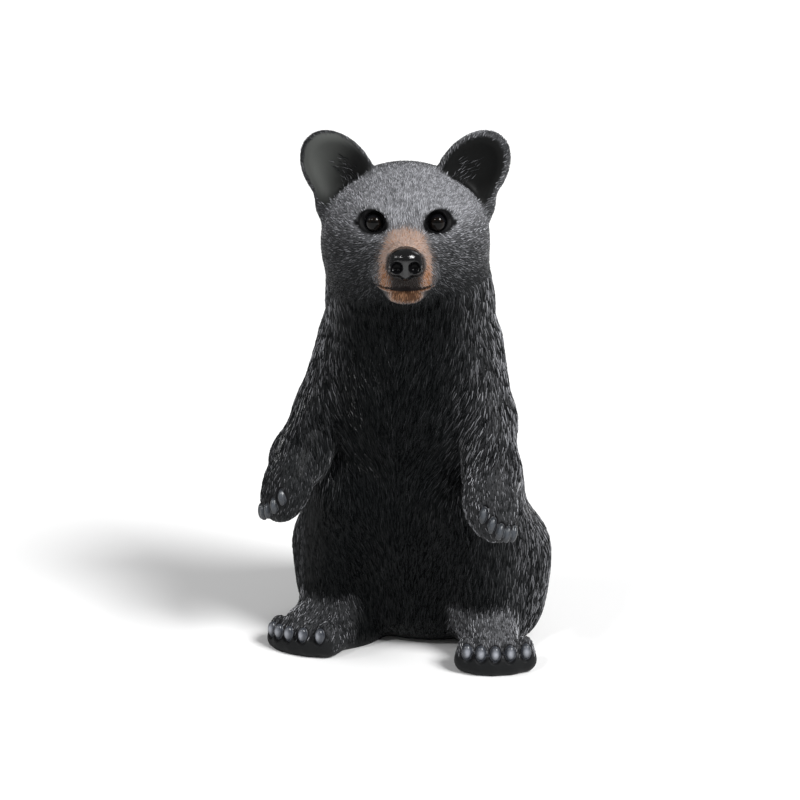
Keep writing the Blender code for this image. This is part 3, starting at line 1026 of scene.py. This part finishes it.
long_lock = lock_shape(
    "long lock", [(-0.35, -0.3), (-0.08, 0.5, -0.4, 0.8), (0.32, 0.36, -0.4, 1.0), (0.65, 0.3)]
)
fur_paint = brushed_paint("brushed coat", 0.40, 0.03)
body_tree = coat_tree(long_lock, fur_paint)
covered = 1 - bare
arm_d = part_distance(arm_forms()[:4], pair)
on_arm = step(8, 0, arm_d - part_distance(torso_forms(), units)) * (1 - on_head)
front = step(4, -4, units[:, 1])
regions = {
    "coat_front": (1 - on_head) * (1 - on_arm) * front,
    "coat_back": (1 - on_head) * (1 - on_arm) * (1 - front),
    "coat_arms": (1 - on_head) * on_arm,
}
BODY_SIZES = {"Spacing": 0.0020, "Length": 0.0105, "Width": 0.0017, "Height": 0.00085, "Lift": 0.06,
              "Stray": 0.26, "Uneven": 0.95}
for seed, (name, region) in enumerate(regions.items()):
    carve(name, body_tree, region * covered, body_reach, pale, 11 + seed, **BODY_SIZES)

short_lock = lock_shape("short lock", [(-0.4, -0.3), (0.0, 0.5, -0.4, 1.0), (0.6, 0.35)])
head_tree = coat_tree(short_lock, brushed_paint("brushed head", 0.05, 0.20))
muzzle_bare = step(0.30, 0.70, snout)
head_reach = 1.0 - 0.35 * step(26, 12, np.linalg.norm(head - EYE, axis=1)) + 0.8 * step(0, 55, own[:, 1])
HEAD_SIZES = {"Spacing": 0.0013, "Length": 0.0052, "Width": 0.0012, "Height": 0.00065, "Lift": 0.08,
              "Stray": 0.34, "Uneven": 0.52}
carve("coat_head", head_tree, on_head * covered * (1 - muzzle_bare), head_reach, pale, 31, **HEAD_SIZES)

# The muzzle's hair is cut finer still, under airbrushed tan and orange.
muzzle_tree = coat_tree(short_lock, muzzle_paint())
tint = 0.28 + 0.32 * step(0.15, 0.8, snout) + 0.25 * orange * step(0.4, 0.95, snout)
tint = tint * (1 - dark_lip) + 0.12 * dark_lip
# The chin is painted dark brown, darker at its sides and underneath: painted shade where it turns down from
# the light.
chin_shade = np.clip(step(4, 20, aside) + step(-32, -42, up), 0, 1)
tint = tint * (1 - chin) + chin * (0.955 + 0.045 * chin_shade)
tint = tint * (1 - chin_edge_shade) + 0.14 * chin_edge_shade
on_muzzle = step(0.08, 0.3, snout) * covered
muzzle_reach = 1.0 + 0.5 * chin
MUZZLE_SIZES = {"Spacing": 0.0010, "Length": 0.0038, "Width": 0.0009, "Height": 0.00042, "Lift": 0.08,
                "Stray": 0.3, "Uneven": 0.16}
carve("coat_muzzle", muzzle_tree, on_muzzle, muzzle_reach, tint, 41, **MUZZLE_SIZES)

# A tuft of pale hairs lies across the inside of each ear, from its inner edge outwards.
hollow_middle, _, ear_turn = ear_forms()[2][1]
in_ear = (head - hollow_middle) @ ear_turn
tuft = inner_ear * step(16, 8, np.abs(in_ear[:, 2] + 6)) * step(12, 5, np.abs(in_ear[:, 0] + 2))
tuft *= step(8, 2, ear_edge)
tuft_tree = coat_tree(short_lock, fur_paint)
TUFT_SIZES = {"Spacing": 0.0020, "Length": 0.0080, "Width": 0.0010, "Height": 0.0007, "Lift": 0.10,
              "Stray": 0.35, "Uneven": 0.7}
carve("coat_ears", tuft_tree, tuft, np.ones(len(units)), np.full(len(units), 0.22), 51, **TUFT_SIZES)
for lock in (long_lock, short_lock):
    bpy.data.objects.remove(lock)


# The floor and the light. The statue stands on a plain pale floor, under a soft light from its left, two
# weak ones from in front and its right that gleam in eyes and nose, and a rim light from behind.
FLOOR_REACH = 40
floor_corners = [(x * FLOOR_REACH, y * FLOOR_REACH, 0) for x, y in ((-1, -1), (1, -1), (1, 1), (-1, 1))]
floor_mesh = bpy.data.meshes.new("floor")
floor_mesh.from_pydata(floor_corners, [], [(0, 1, 2, 3)])
floor = new_piece("floor", floor_mesh)
s = Shader("pale floor")
floor_mesh.materials.append(s.finish(Base_Color=(0.90, 0.90, 0.90), Roughness=0.9))

world = bpy.data.worlds.new("studio")
world.use_nodes = True
bpy.context.scene.world = world
world.node_tree.nodes["Background"].inputs["Color"].default_value = (1.0, 1.0, 1.0, 1.0)
world.node_tree.nodes["Background"].inputs["Strength"].default_value = 0.22
bpy.context.scene.view_settings.view_transform = "Standard"


def soft_light(name, way, spread, strength):
    """A broad even light from one side, as a large soft box gives."""
    data = bpy.data.lights.new(name, "SUN")
    data.angle = math.radians(spread)
    data.energy = strength
    lamp = new_piece(name, data)
    lamp.rotation_euler = Vector(way).to_track_quat("Z", "Y").to_euler()


soft_light("key", (0.66, -0.28, 0.70), 22, 3.6)
soft_light("fill", (-0.30, -0.64, 0.71), 5.5, 0.65)
soft_light("side", (-0.73, -0.38, 0.57), 12, 0.40)
soft_light("rim", (0.3, 0.8, 0.6), 30, 0.6)

# The camera stands where the photographer's did: 15 degrees round to the bear's left and 16 degrees up.
# Its distance and the place it aims at are in the figure's own measure, and so is the width that it sees.
AZIMUTH = math.radians(15)
ELEVATION = math.radians(16)
AWAY = 1700.0
SEEN_WIDTH = 800.0
SENSOR = 36.0
HALF_WAY_UP = 250.0
AIM_ASIDE = 21.0
AIM_UP = 231.0
across = Vector((math.cos(AZIMUTH), math.sin(AZIMUTH), 0.0))
level = math.cos(ELEVATION)
back = Vector((math.sin(AZIMUTH) * level, -math.cos(AZIMUTH) * level, math.sin(ELEVATION)))
upward = back.cross(across)
aim = Vector((0, 0, HALF_WAY_UP)) - across * AIM_ASIDE - upward * (HALF_WAY_UP * upward.z - AIM_UP)
lens = bpy.data.cameras.new("camera")
lens.sensor_width = SENSOR
lens.lens = SENSOR * AWAY / SEEN_WIDTH
camera = new_piece("camera", lens)
turn = Matrix((across, upward, back)).transposed().to_4x4()
camera.matrix_world = Matrix.Translation((aim + back * AWAY) * UNIT - middle) @ turn
bpy.context.scene.camera = camera
